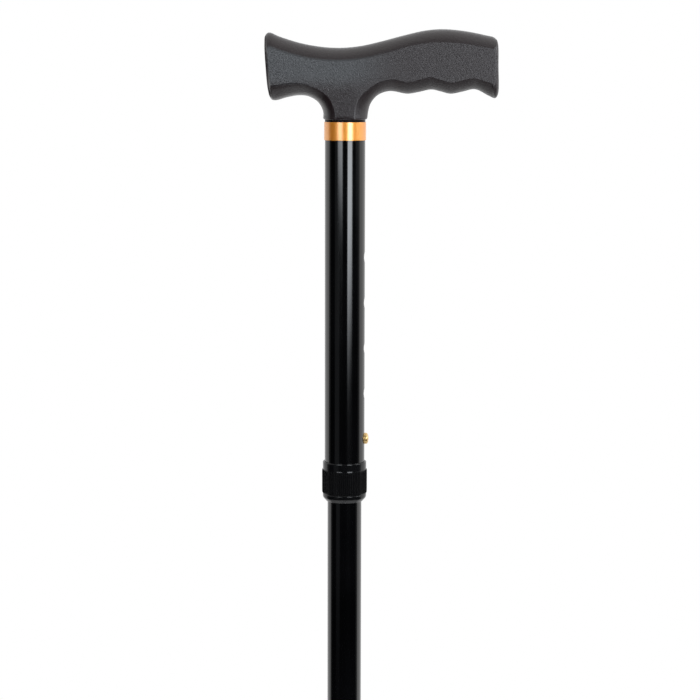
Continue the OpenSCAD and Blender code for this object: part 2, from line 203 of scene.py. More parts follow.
def blackTube():
    look = {
        "deep": (0.0008, 0.0008, 0.0010), "pale": (0.0020, 0.0020, 0.0024), "spread": (0.3, 0.7),
        "drawn": (1500, 1500, 9), "clouds": 28, "end": (0.8896, 0.8899),
        "dull": 0.085, "dullDrawn": 0.02, "dullClouds": 0.03, "dullEnd": 0.3, "metalEnd": 0.9,
    }
    f = Finish("blackTube")
    drawn = f.noise(look["drawn"], detail=4)  # lines along the tube
    clouds = f.noise(look["clouds"], detail=3)
    # painted shade: above the trim ring the tube's end turns rough and metallic, and with its near-black
    # colour it reflects almost nothing, standing for the shadow in the gap under the handle
    end = f.spot.part("Z").ramp(*look["end"])  # the tube's end above the trim ring
    rough = look["dull"] + look["dullDrawn"] * drawn + look["dullClouds"] * clouds
    return f.close(
        baseColor=f.tone(clouds.ramp(*look["spread"]), look["deep"], look["pale"]),
        roughness=rough + look["dullEnd"] * end, metallic=look["metalEnd"] * end, ior=1.62,
        normal=f.bump(drawn, strength=0.03, distance=0.00002))


def goldRing():
    look = {
        "deep": (1.0, 0.235, 0.011), "pale": (1.0, 0.40, 0.045), "glint": (1.0, 0.72, 0.16, 1),
        "turned": (60, 60, 5200), "clouds": 160, "cloudShare": 0.6, "turnedShare": 0.4,
        "dull": 0.33, "dullTurned": 0.08,
    }
    f = Finish("goldRing")
    turned = f.noise(look["turned"], detail=3)  # lines round the ring
    clouds = f.noise(look["clouds"])
    share = look["cloudShare"] * clouds + look["turnedShare"] * turned
    return f.close(
        baseColor=f.tone(share, look["deep"], look["pale"]), metallic=0.35,
        roughness=look["dull"] + look["dullTurned"] * turned, ior=2.9, specularTint=look["glint"],
        coatWeight=1.0, coatRoughness=0.22, coatIor=1.95,
        normal=f.bump(turned, strength=0.12, distance=0.00003))


def nutGloss():
    look = {
        "deep": (0.0030, 0.0030, 0.0034), "pale": (0.0060, 0.0060, 0.0066),
        "clouds": 220, "turned": (90, 90, 2600), "dull": 0.09, "dullClouds": 0.04,
    }
    f = Finish("nutGloss")
    clouds = f.noise(look["clouds"], detail=3)
    turned = f.noise(look["turned"])
    return f.close(
        baseColor=f.tone(clouds, look["deep"], look["pale"]),
        roughness=look["dull"] + look["dullClouds"] * clouds, ior=1.42,
        normal=f.bump(turned, strength=0.03, distance=0.00002))


def nutRibs():
    look = {
        "deep": (0.0007, 0.0006, 0.0008), "pale": (0.0016, 0.0014, 0.0018),
        "clouds": 420, "grain": 3500, "dull": 0.55, "dullClouds": 0.14,
    }
    f = Finish("nutRibs")
    clouds = f.noise(look["clouds"], detail=3)
    return f.close(
        baseColor=f.tone(clouds, look["deep"], look["pale"]),
        roughness=look["dull"] + look["dullClouds"] * clouds,
        specularIorLevel=0.06, sheenWeight=0.07, sheenRoughness=0.5,
        normal=f.bump(f.noise(look["grain"]), strength=0.15, distance=0.00004))


def springBrass():
    look = {
        "pale": (0.92, 0.66, 0.30), "deep": (0.80, 0.52, 0.20), "spread": (0.3, 0.75),
        "clouds": 420, "turned": (300, 1500, 1500), "dull": 0.26, "dullClouds": 0.14,
    }
    f = Finish("springBrass")
    clouds = f.noise(look["clouds"], detail=3)
    turned = f.noise(look["turned"], detail=3)
    return f.close(
        baseColor=f.tone(clouds.ramp(*look["spread"]), look["pale"], look["deep"]), metallic=0.8,
        roughness=look["dull"] + look["dullClouds"] * clouds,
        normal=f.bump(turned, strength=0.06, distance=0.00002))


def brightSteel():
    look = {
        "deep": (0.46, 0.46, 0.48), "pale": (0.62, 0.62, 0.63),
        "brushed": (2400, 2400, 120), "dull": 0.24, "dullBrushed": 0.16,
    }
    f = Finish("brightSteel")
    brushed = f.noise(look["brushed"], detail=4)
    return f.close(
        baseColor=f.tone(brushed, look["deep"], look["pale"]), metallic=1.0,
        roughness=look["dull"] + look["dullBrushed"] * brushed,
        normal=f.bump(brushed, strength=0.06, distance=0.00002))


def paleNylon():
    look = {
        "deep": (0.70, 0.69, 0.64), "pale": (0.80, 0.79, 0.76),
        "clouds": 180, "grain": 2600, "dull": 0.40, "dullClouds": 0.14,
    }
    f = Finish("paleNylon")
    clouds = f.noise(look["clouds"], detail=3)
    return f.close(
        baseColor=f.tone(clouds, look["deep"], look["pale"]),
        roughness=look["dull"] + look["dullClouds"] * clouds,
        subsurfaceWeight=0.08, subsurfaceScale=0.002,
        normal=f.bump(f.noise(look["grain"]), strength=0.10, distance=0.00004))


def darkNylon():
    look = {
        "deep": (0.0110, 0.0110, 0.0118), "pale": (0.0190, 0.0190, 0.0200),
        "clouds": 150, "grain": 2400, "dull": 0.30, "dullClouds": 0.12, "dullGrain": 0.06,
    }
    f = Finish("darkNylon")
    clouds = f.noise(look["clouds"], detail=3)
    grain = f.noise(look["grain"])
    return f.close(
        baseColor=f.tone(clouds, look["deep"], look["pale"]),
        roughness=look["dull"] + look["dullClouds"] * clouds + look["dullGrain"] * grain,
        normal=f.bump(grain, strength=0.14, distance=0.00005))


def tipRubber():
    look = {
        "deep": (0.0120, 0.0120, 0.0122), "pale": (0.0230, 0.0230, 0.0232), "dust": (0.11, 0.105, 0.10),
        "clouds": 90, "specks": 2200, "dustLevel": (0.0, 0.009), "dustPatch": (0.35, 0.75), "dustShare": 0.5,
        "dull": 0.58, "dullClouds": 0.14, "dullDust": 0.12,
    }
    f = Finish("tipRubber")
    clouds = f.noise(look["clouds"], detail=4)
    specks = f.noise(look["specks"], detail=3)
    level = f.spot.part("Z")
    dusty = (1 - level.ramp(*look["dustLevel"])) * clouds.ramp(*look["dustPatch"])  # floor dust on the foot
    black = f.tone(specks, look["deep"], look["pale"])
    return f.close(
        baseColor=f.tone(look["dustShare"] * dusty, black, look["dust"]),
        roughness=look["dull"] + look["dullClouds"] * clouds + look["dullDust"] * dusty,
        specularIorLevel=0.4, normal=f.bump(specks, strength=0.25, distance=0.00010))


def braidedCord():
    look = {
        "deep": (0.010, 0.010, 0.012), "pale": (0.052, 0.052, 0.058), "weaveShare": 0.7, "fibreShare": 0.3,
        "strands": 6, "fibre": 5200, "dull": 0.78, "dullFibre": 0.12,
    }
    f = Finish("braidedCord")
    uv = f.node("ShaderNodeUVMap", {"uv_map": "braid"})
    u, v = uv.part("X"), uv.part("Y")
    left = (2 * math.pi * (look["strands"] * u + v)).sine()
    right = (2 * math.pi * (look["strands"] * u - v)).sine()
    weave = 0.5 + 0.5 * (left * right)
    fibre = f.noise(look["fibre"], detail=3)
    share = look["weaveShare"] * weave + look["fibreShare"] * fibre
    fuzzy = f.bump(fibre, strength=0.3, distance=0.00006)
    return f.close(
        baseColor=f.tone(share, look["deep"], look["pale"]),
        roughness=look["dull"] + look["dullFibre"] * fibre, sheenWeight=0.25, sheenRoughness=0.5,
        normal=f.bump(weave, strength=0.9, distance=0.00022, under=fuzzy))


finish = {made.name: made for made in (
    gripPlastic(), blackTube(), goldRing(), nutGloss(), nutRibs(), springBrass(),
    brightSteel(), paleNylon(), darkNylon(), tipRubber(), braidedCord())}
print("finishes:", len(finish))


# mesh helpers

def asMesh(name, points, faces, material, sharp=32):
    mesh = bpy.data.meshes.new(name)
    mesh.from_pydata([tuple(p) for p in points], [], faces)
    mesh.materials.append(finish[material])
    mesh.shade_smooth()
    mesh.set_sharp_from_angle(angle=math.radians(sharp))
    mesh.update()
    piece = bpy.data.objects.new(name, mesh)
    scene.collection.objects.link(piece)
    return piece


def dress(piece, body, slot, *stoodFor):
    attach(piece, body)
    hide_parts(*stoodFor)


# faces of a tube with closed ends, given its rings of points
def tubeFaces(rings, around):
    faces = []
    for i in range(rings - 1):
        for k in range(around):
            n = (k + 1) % around
            faces.append([i * around + k, i * around + n, (i + 1) * around + n, (i + 1) * around + k])
    faces.append(list(range(around - 1, -1, -1)))
    faces.append([(rings - 1) * around + k for k in range(around)])
    return faces


rounding = {"steps": 5, "most": 0.48, "beside": 1.03, "onAxis": 1e-6}


# corners given as (radius, level, round) are rounded off, all in millimetres
def roundOff(corners, closed=True):
    flat = [Vector(c[:2]) for c in corners]
    count = len(flat)
    line = []
    for i, corner in enumerate(corners):
        size = corner[2] if len(corner) > 2 else 0
        if not size or (not closed and i in (0, count - 1)):
            line.append(flat[i])
            continue
        before, after = flat[i - 1] - flat[i], flat[(i + 1) % count] - flat[i]
        reach = min(size, rounding["most"] * before.length, rounding["most"] * after.length)
        before, after = before.normalized() * reach, after.normalized() * reach
        line.append(flat[i] + rounding["beside"] * before)  # keeps the flat beside the round flat
        for k in range(rounding["steps"] + 1):
            t = k / rounding["steps"]
            line.append(flat[i] + before * (1 - t) ** 2 + after * t * t)
        line.append(flat[i] + rounding["beside"] * after)
    return line


def revolve(name, line, material, closed=True, around=128, lift=0.0, alongX=False, sharp=32):
    points, faces, rings = [], [], []
    for r, level in line:
        start = len(points)
        if r < rounding["onAxis"]:
            points.append((0, 0, level + lift))
            rings.append([start] * around)
            continue
        for k in range(around):
            turn = 2 * math.pi * k / around
            points.append((r * math.cos(turn), r * math.sin(turn), level + lift))
        rings.append(list(range(start, start + around)))
    pairs = list(zip(rings, rings[1:])) + ([(rings[-1], rings[0])] if closed else [])
    for low, high in pairs:
        for k in range(around):
            n = (k + 1) % around
            corners = [low[k], low[n], high[n], high[k]]
            face = [c for i, c in enumerate(corners) if c not in corners[:i]]
            if len(face) > 2:
                faces.append(face)
    spots = np.array(points) * mm
    if alongX:  # the line's levels run along +X
        spots = np.column_stack([spots[:, 2], spots[:, 0], spots[:, 1]])
    return asMesh(name, spots, faces, material, sharp)


# handle

grip = {
    "neck": 12.1, "nose": 31.7, "reach": 70.9, "height": 49.1, "panel": 11.0,
    "foot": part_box("handle_tube")[1].z / mm, "footRound": 0.5, "footSide": 0.7, "footInset": 0.05,
    "footRings": [0, 0.03, 0.07, 0.12, 0.18, 0.26, 0.45, 0.7], "along": 8, "round": 22, "sharp": 40,
    "crease": 0.35, "creaseLine": 0.985, "noseTurn": math.radians(33), "gripTurn": math.radians(86),
    "ends": ((7.6, 10.6), (24.6, 28.0)), "endBlend": 0.6, "endFlat": 0.3, "endRise": 0.8,
    "stem": 9.85, "stemReach": 34.0, "stemEdge": 1.5, "stemRounds": (0.4, 0.6), "stemTop": 0.3,
    "stemAround": 96,
}
# across: -1 to 1 spans the neck, -2 is the nose's end and 2 the grip's end; upward: 1 is the crown
rimShares = [
    (-1, 0), (-0.995, 0.087), (-1.08, 0.19), (-1.25, 0.257), (-1.42, 0.268),
    (-1.625, 0.245), (-1.82, 0.212), (-1.89, 0.224), (-1.94, 0.32), (-1.979, 0.58),
    (-2, 0.837), (-1.985, 0.934), (-1.928, 0.96), (-1.75, 0.916), (-1.4, 0.847),
    (-1.04, 0.805), (-0.25, 0.793), (0.65, 0.812), (1.11, 0.866), (1.28, 0.931),
    (1.45, 0.986), (1.585, 1), (1.745, 0.98), (1.9, 0.937), (1.975, 0.908),
    (1.995, 0.86), (2.001, 0.58), (2.004, 0.285), (1.984, 0.242), (1.935, 0.268),
    (1.83, 0.339), (1.73, 0.311), (1.642, 0.289), (1.56, 0.316), (1.495, 0.335),
    (1.392, 0.306), (1.31, 0.288), (1.17, 0.317), (1.08, 0.271), (1.025, 0.178),
    (1.007, 0.087), (1, 0)]
flatShare = math.sqrt(1 - (grip["panel"] / grip["neck"]) ** 2)
panelShares = [
    (-flatShare, 0), (-0.455, 0.087), (-0.76, 0.25), (-1.16, 0.355), (-1.385, 0.401),
    (-1.62, 0.401), (-1.835, 0.378), (-1.89, 0.38), (-1.908, 0.43), (-1.93, 0.6),
    (-1.947, 0.75), (-1.95, 0.778), (-1.925, 0.788), (-1.735, 0.748), (-1.37, 0.681),
    (-1.02, 0.647), (-0.25, 0.641), (0.68, 0.662), (1.13, 0.726), (1.297, 0.802),
    (1.453, 0.843), (1.585, 0.851), (1.733, 0.836), (1.878, 0.803), (1.95, 0.782),
    (1.966, 0.765), (1.97, 0.58), (1.97, 0.425), (1.958, 0.402), (1.93, 0.411),
    (1.805, 0.459), (1.723, 0.435), (1.642, 0.411), (1.561, 0.437), (1.48, 0.47),
    (1.397, 0.442), (1.313, 0.415), (1.173, 0.446), (1.07, 0.4), (0.66, 0.25),
    (0.445, 0.11), (flatShare, 0)]


def across(u):
    if u > 1:
        return grip["neck"] + (u - 1) * grip["reach"]
    if u < -1:
        return -grip["neck"] + (u + 1) * grip["nose"]
    return u * grip["neck"]


# a smooth line through the points; stations lists the shares of each stretch
def smoothLine(points, stations):
    p = [np.array(q, float) for q in points]
    p = [2 * p[0] - p[1]] + p + [2 * p[-1] - p[-2]]
    line = []
    for i in range(1, len(p) - 2):
        a, b, c, d = p[i - 1:i + 3]
        t1 = math.sqrt(np.linalg.norm(b - a))
        t2 = t1 + math.sqrt(np.linalg.norm(c - b))
        t3 = t2 + math.sqrt(np.linalg.norm(d - c))
        for share in stations[i - 1]:
            t = t1 + (t2 - t1) * share
            a1 = (a * (t1 - t) + b * t) / t1
            a2 = (b * (t2 - t) + c * (t - t1)) / (t2 - t1)
            a3 = (c * (t3 - t) + d * (t - t2)) / (t3 - t2)
            b1 = (a1 * (t2 - t) + a2 * t) / t2
            b2 = (a2 * (t3 - t) + a3 * (t - t1)) / (t3 - t1)
            line.append((b1 * (t2 - t) + b2 * (t - t1)) / (t2 - t1))
    line.append(p[-2])
    return np.array(line)


# 1 along the nose's and the grip's end face, 0 elsewhere
def endShare(count):
    at = np.arange(count) / grip["along"]
    blend = grip["endBlend"]
    share = np.zeros(count)
    for first, last in grip["ends"]:
        rise = np.clip((at - first + blend) / blend, 0, 1) * np.clip((last + blend - at) / blend, 0, 1)
        share = np.maximum(share, rise * rise * (3 - 2 * rise))
    return share


# the side outline as points at a distance from the middle plane
def setAside(outline, depth):
    return np.column_stack([outline[:, 0], np.broadcast_to(depth, (len(outline),)), outline[:, 1]])


# rings from one side panel over the rolled edge to the other, in millimetres above the foot
def handleRings():
    even = [k / grip["along"] for k in range(grip["along"])]
    close = grip["footRings"]
    stations = [close] + [even] * (len(rimShares) - 3) + [[0] + [1 - s for s in close[:0:-1]]]
    rim, panel = [smoothLine([(across(u), v * grip["height"]) for u, v in shares], stations)
                  for shares in (rimShares, panelShares)]
    flat, steps, near = math.asin(grip["panel"] / grip["neck"]), grip["round"], grip["creaseLine"]
    rolls = [flat * k / steps for k in range(-steps, steps + 1)]
    rolls = [rolls[0], rolls[0] * near, *rolls[1:-1], rolls[-1] * near, rolls[-1]]
    inset = panel - rim
    span = np.linalg.norm(inset, axis=1)
    ends = endShare(len(rim))[:, None]
    nose, edge = rim[:, 0] < 0, grip["gripTurn"]
    slope = np.where(nose, math.tan(grip["noseTurn"]), math.sin(edge) / (1 - math.cos(edge)))
    rise = np.minimum(span * slope, grip["endRise"] * grip["panel"])
    rings = []
    for roll in rolls:
        inward = (1 - math.cos(roll)) / (1 - math.cos(flat))
        rolled = setAside(rim + inset * inward, grip["neck"] * math.sin(roll))
        # the two end faces are flat, with a bevel at the nose and a small round at the grip
        reach = abs(roll) / flat
        bevel = max(0.0, (reach - grip["endFlat"]) / (1 - grip["endFlat"]))
        straight = min(1.0, reach / grip["endFlat"])
        turn = bevel * edge
        inward = np.where(nose, bevel, (1 - math.cos(turn)) / (1 - math.cos(edge)))
        lifted = np.where(nose, bevel, math.sin(turn) / math.sin(edge))
        depth = (grip["panel"] - rise) * straight + rise * lifted
        squared = setAside(rim + inset * inward[:, None], math.copysign(1, roll) * depth)
        rings.append(rolled + (squared - rolled) * ends)
    spot = panel + inset / span[:, None] * grip["crease"]
    spot[[0, -1]] = panel[[0, -1]] * (1 - grip["footInset"])
    return [setAside(spot, -grip["panel"]), *rings, setAside(spot, grip["panel"])]


def makeHandle():
    rings = handleRings()
    points = np.vstack(rings)
    # the neck's lower edge is rounded, more at its two sides
    away = np.hypot(points[:, 0], points[:, 1])
    size = grip["footRound"] + grip["footSide"] * (points[:, 0] / away) ** 2
    drop = np.clip(size - points[:, 2], 0, None)
    draw = size - np.sqrt(size ** 2 - drop ** 2)
    points[:, :2] *= (1 - draw / away)[:, None]
    points[:, 2] += grip["foot"]
    faces = tubeFaces(len(rings), len(rings[0]))
    body = asMesh("handleGrip", points * mm, faces, "gripPlastic", grip["sharp"])
    r, low, top = grip["stem"], -grip["stemReach"], grip["stemTop"]
    lowRound, sideRound = grip["stemRounds"]
    stem = revolve("handleStem", roundOff([
        (0, low), (r - grip["stemEdge"], low, lowRound), (r, low + grip["stemEdge"], sideRound),
        (r, top), (0, top)], False), "gripPlastic", False, grip["stemAround"], grip["foot"])
    for piece in (body, stem):
        dress(piece, "handle", "grip_plastic", "handle")


makeHandle()
print("handle made")


# trim ring and lock nut

ring = {"bore": 11.15, "outer": 11.55, "height": 10.0, "round": 0.28, "boreRound": 0.1}


def makeTrimRing():
    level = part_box("trim_ring")[0].z / mm
    piece = revolve("trimRing", roundOff([
        (ring["bore"], 0, ring["boreRound"]), (ring["outer"], 0, ring["round"]),
        (ring["outer"], ring["height"], ring["round"]), (ring["bore"], ring["height"], ring["boreRound"])]),
        "goldRing", lift=level)
    dress(piece, "handle", "gold_ring", "trim_ring")


nut = {
    "lip": 9.7, "foot": 10.18, "ring": 12.15, "bore": 11.2, "seat": 10.42, "band": 12.25,
    "taper": 2.3, "bandLow": 4.3, "bandHigh": 18.3, "bandEdge": 0.5, "height": 22.4, "squeeze": 8.7,
    "groove": 0.22, "grooveLow": 0.25, "grooveHigh": 0.2, "grooveRounds": (0.15, 0.1, 0.1),
    "lipRounds": (0.15, 0.1), "footRound": 0.5, "taperRound": 0.8, "bandRounds": (0.2, 0.3, 0.2),
    "topRounds": (0.45, 0.3), "around": 192, "sharp": 40,
    "ribs": 72, "ribRound": 0.36, "ribCentre": 12.19, "ribLow": 0.25, "ribHigh": 0.1,
    "ribSteps": 25, "ribSides": 10, "ribBlunt": 14, "ribEnd": 0.08,
}


# ribs stand round a ring of points; each is a bar with rounded ends
def ribTree():
    tree = bpy.data.node_groups.new("nutRibs", "GeometryNodeTree")
    inputs = {}
    kinds = {"Count": "NodeSocketInt", "Radius": "NodeSocketFloat", "Thickness": "NodeSocketFloat",
             "Low": "NodeSocketFloat", "High": "NodeSocketFloat", "Finish": "NodeSocketMaterial"}
    for name, kind in kinds.items():
        inputs[name] = tree.interface.new_socket(name, in_out="INPUT", socket_type=kind).identifier
    tree.interface.new_socket("Geometry", in_out="OUTPUT", socket_type="NodeSocketGeometry")
    g = Graph(tree)
    entry = tree.nodes.new("NodeGroupInput")
    given = {name: Wire(g, entry.outputs[name]) for name in inputs}
    bottom = g.node("ShaderNodeCombineXYZ", None, {"Z": given["Low"]})
    top = g.node("ShaderNodeCombineXYZ", None, {"Z": given["High"]})
    line = g.node("GeometryNodeCurvePrimitiveLine", None, {"Start": bottom, "End": top})
    line = g.node("GeometryNodeResampleCurve", None, {"Curve": line, "Count": nut["ribSteps"]})
    along = g.node("GeometryNodeSplineParameter", out="Factor")
    thick = ((1 - abs(2 * along - 1) ** nut["ribBlunt"]).above(0.0) ** 0.5).above(nut["ribEnd"])
    line = g.node("GeometryNodeSetCurveRadius", None, {"Curve": line, "Radius": thick})
    section = g.node("GeometryNodeCurvePrimitiveCircle", None, {
        "Resolution": nut["ribSides"], "Radius": given["Thickness"]})
    bar = g.node("GeometryNodeCurveToMesh", None, {
        "Curve": line, "Profile Curve": section, "Scale": thick, "Fill Caps": True})
    bar = g.node("GeometryNodeSetShadeSmooth", None, {0: bar})
    circle = g.node("GeometryNodeMeshCircle", None, {"Vertices": given["Count"], "Radius": given["Radius"]})
    facing = g.node("FunctionNodeAlignRotationToVector", {"axis": "X", "pivot_axis": "Z"}, {
        "Vector": g.node("GeometryNodeInputPosition")})
    placed = g.node("GeometryNodeInstanceOnPoints", None, {
        "Points": circle, "Instance": bar, "Rotation": facing})
    real = g.node("GeometryNodeRealizeInstances", None, {"Geometry": placed})
    painted = g.node("GeometryNodeSetMaterial", None, {"Geometry": real, "Material": given["Finish"]})
    g.node("NodeGroupOutput", None, {"Geometry": painted})
    return tree, inputs


# runs a tree on an empty mesh and keeps the plain result
def grow(name, tree, inputs, values):
    holder = bpy.data.objects.new(name + "Holder", bpy.data.meshes.new(name))
    scene.collection.objects.link(holder)
    modifier = holder.modifiers.new("grow", "NODES")
    modifier.node_group = tree
    for key, value in values.items():
        modifier[inputs[key]] = value
    state = bpy.context.evaluated_depsgraph_get()
    mesh = bpy.data.meshes.new_from_object(holder.evaluated_get(state), depsgraph=state)
    mesh.name = name
    bpy.data.objects.remove(holder)
    piece = bpy.data.objects.new(name, mesh)
    scene.collection.objects.link(piece)
    return piece


def makeLockNut():
    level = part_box("lock_nut")[0].z / mm
    low, high, wide = nut["bandLow"], nut["bandHigh"], nut["ring"]
    lip, seat = nut["lipRounds"]
    under, notch, over = nut["grooveRounds"]
    bandFoot, bandTop, shoulder = nut["bandRounds"]
    rim, mouth = nut["topRounds"]
    shell = revolve("lockNut", roundOff([
        (nut["lip"], 0, lip), (nut["foot"], 0, nut["footRound"]), (wide, nut["taper"], nut["taperRound"]),
        (wide, low - nut["grooveLow"], under), (wide - nut["groove"], low, notch),
        (wide, low + nut["grooveHigh"], over), (nut["band"], low + nut["bandEdge"], bandFoot),
        (nut["band"], high - nut["bandEdge"], bandTop), (wide, high, shoulder),
        (wide, nut["height"], rim), (nut["bore"], nut["height"], mouth),
        (nut["bore"], nut["squeeze"]), (nut["seat"], nut["taper"]), (nut["lip"], nut["taper"], seat)]),
        "nutGloss", around=nut["around"], lift=level, sharp=nut["sharp"])
    tree, inputs = ribTree()
    ribs = grow("lockNutRibs", tree, inputs, {
        "Count": nut["ribs"], "Radius": nut["ribCentre"] * mm, "Thickness": nut["ribRound"] * mm,
        "Low": (level + low + nut["ribLow"]) * mm, "High": (level + high - nut["ribHigh"]) * mm,
        "Finish": finish["nutRibs"]})
    for piece in (shell, ribs):
        dress(piece, "lock_nut", "nut_plastic", "lock_nut")


makeTrimRing()
makeLockNut()
print("trim ring and lock nut made")


# snap button

clip = {
    "level": 714.0, "head": 3.1, "foot": 4.1, "footBack": 5.8, "footFront": 7.1, "neck": 12.1, "tip": 13.4,
    "footRound": 0.2, "headRound": 0.15, "neckLine": 0.6, "domeSteps": 14, "around": 72,
    "back": -7.13, "front": 5.82, "rise": 4.7, "drop": 24.0, "bend": 2.2, "bendSteps": 8, "pathSteps": 6,
    "leaf": 0.6, "width": 7.0, "leafEdge": 0.25, "leafFlat": 0.4,
}


def makeButtonHead():
    dome = []
    for k in range(clip["domeSteps"]):
        a = math.pi / 2 * k / clip["domeSteps"]
        dome.append((clip["head"] * math.cos(a), clip["neck"] + (clip["tip"] - clip["neck"]) * math.sin(a)))
    line = roundOff([
        (0, clip["footBack"]), (clip["foot"], clip["footBack"], clip["footRound"]),
        (clip["foot"], clip["footFront"], clip["footRound"]),
        (clip["head"], clip["footFront"], clip["headRound"])], False)
    line += [(clip["head"], clip["neck"] - clip["neckLine"]), *dome, (0, clip["tip"])]
    head = revolve("snapButtonHead", line, "springBrass", False, clip["around"], alongX=True)
    head.data.transform(Matrix.Translation((0, 0, clip["level"] * mm)))
    dress(head, "snap_button", "brass_clip", "snap_button")


# the folded leaf lies in the inner tube
def makeButtonLeaf():
    bend = []
    for k in range(clip["bendSteps"] + 1):
        a = math.pi * (1 + k / clip["bendSteps"])
        bend.append((clip["bend"] * math.cos(a), clip["bend"] * (1 + math.sin(a)) - clip["drop"]))
    path = [(clip["back"], clip["rise"]), (clip["back"], -clip["rise"]), *bend,
            (clip["front"], -clip["rise"]), (clip["front"], clip["rise"])]
    shares = [k / clip["pathSteps"] for k in range(clip["pathSteps"])]
    line = smoothLine(path, [shares] * (len(path) - 1))
    ahead = np.gradient(line, axis=0)
    side = np.column_stack([-ahead[:, 1], ahead[:, 0]]) / np.linalg.norm(ahead, axis=1)[:, None]
    half, wide, level = clip["leaf"] / 2, clip["width"] / 2, clip["level"]
    thin, near = half * clip["leafFlat"], wide - clip["leafEdge"]
    section = [(-half, near), (-thin, wide), (thin, wide), (half, near),
               (half, -near), (thin, -wide), (-thin, -wide), (-half, -near)]
    points = []
    for spot, out in zip(line, side):
        for off, y in section:
            points.append(((spot[0] + out[0] * off) * mm, y * mm, (spot[1] + out[1] * off + level) * mm))
    leaf = asMesh("snapButtonLeaf", points, tubeFaces(len(line), len(section)), "springBrass")
    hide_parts("snap_button")
    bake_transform(leaf)


makeButtonHead()
makeButtonLeaf()
print("snap button made")


# fold joints

fold = {
    "insert": 8.25, "socket": 7.3, "collar": 10.25, "collarHigh": 3.0, "depth": 25.0, "seam": 0.1,
    "pivot": 15.0, "noseLong": 12.5, "noseGap": 0.3, "noseSteps": 20, "cordHole": 1.9, "around": 112,
    "mouthRound": 0.45, "seamRound": 0.3, "collarRound": 0.7, "endRound": 0.4, "noseRound": 0.6,
    "holeRounds": (0.2, 0.35),
}
seams = [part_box(f"socket_sleeve_{i}")[0].z / mm for i in (1, 2, 3)]
sections = ["upper_shaft", "second_section", "third_section", "tip_section"]


def makeFoldJoint(index):
    seam, depth, high = seams[index], fold["depth"], fold["collarHigh"]
    sleeve = revolve(f"socketSleeve{index + 1}", roundOff([
        (fold["socket"], 0, fold["mouthRound"]), (fold["collar"], 0, fold["seamRound"]),
        (fold["collar"], high, fold["collarRound"]), (fold["insert"], high), (fold["insert"], depth),
        (fold["socket"], depth, fold["endRound"])]),
        "darkNylon", around=fold["around"], lift=seam)
    dress(sleeve, sections[index], "black_nylon", f"socket_sleeve_{index + 1}")
    # the nose is as wide as the swing about the pivot lets it be
    swing = fold["pivot"] + fold["socket"]
    nose = []
    for k in range(fold["noseSteps"] + 1):
        z = (fold["noseLong"] + fold["seam"]) * k / fold["noseSteps"] - fold["seam"]
        nose.append((math.sqrt(swing ** 2 - z ** 2) - fold["pivot"] - fold["noseGap"], z))
    nose[-1] = (*nose[-1], fold["noseRound"])
    lowHole, topHole = fold["holeRounds"]
    plug = revolve(f"jointPlug{index + 1}", roundOff([
        (fold["cordHole"], -depth, lowHole), (fold["insert"], -depth, fold["endRound"]),
        (fold["insert"], -high), (fold["collar"], -high, fold["collarRound"]),
        (fold["collar"], -fold["seam"], fold["seamRound"]), *nose,
        (fold["cordHole"], fold["noseLong"], topHole)]),
        "darkNylon", around=fold["around"], lift=seam)
    dress(plug, sections[index + 1], "black_nylon", f"joint_plug_{index + 1}")


for index in range(len(seams)):
    makeFoldJoint(index)
print("fold joints made")


# elastic cord

cord = {
    "radius": 1.6, "zoneTop": 18.0, "zoneLow": 12.5, "rings": 72, "around": 20, "lay": 5.0, "step": 4.0,
    "soften": 7, "leastSquare": 0.55, "sharp": 60,
}
# sideways places of the slack in a socket, by the angle that it turns through when folded
slack = [(0, 0), (30, 2.8), (45, 4.6), (60, 4.9), (75, 2.2), (90, -2.6), (110, -5.0), (135, -5.2),
         (158, -5.0), (172, -2.2), (180, 0)]


def cordTube(name, rings, lengths):
    n = cord["around"]
    piece = asMesh(name, np.vstack(rings) * mm, tubeFaces(len(rings), n), "braidedCord", cord["sharp"])
    uv = piece.data.uv_layers.new(name="braid")
    for polygon in piece.data.polygons:
        for j, loop in enumerate(polygon.loop_indices):
            vertex = piece.data.loops[loop].vertex_index
            turn = vertex % n
            if len(polygon.vertices) == 4 and turn == 0 and j in (1, 2):
                turn = n  # the seam's far side
            uv.data[loop].uv = (turn / n, lengths[vertex // n] / cord["lay"])
    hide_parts("elastic_cord")
    return piece


def flatRing(x, y, z, along=None, wide=1.0):
    turns = np.arange(cord["around"]) * 2 * math.pi / cord["around"]
    edge = np.column_stack([np.cos(turns), np.sin(turns)]) * cord["radius"]
    if along is not None:  # wider along the fold's direction
        edge = edge + np.outer(edge @ along * (wide - 1), along)
    return np.column_stack([edge[:, 0] + x, edge[:, 1] + y, np.full(len(edge), z)])


def straightCord(name, body, low, high):
    levels = np.linspace(low, high, max(2, int((high - low) / cord["step"])))
    piece = cordTube(name, [flatRing(0, 0, z) for z in levels], levels - low)
    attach(piece, body)


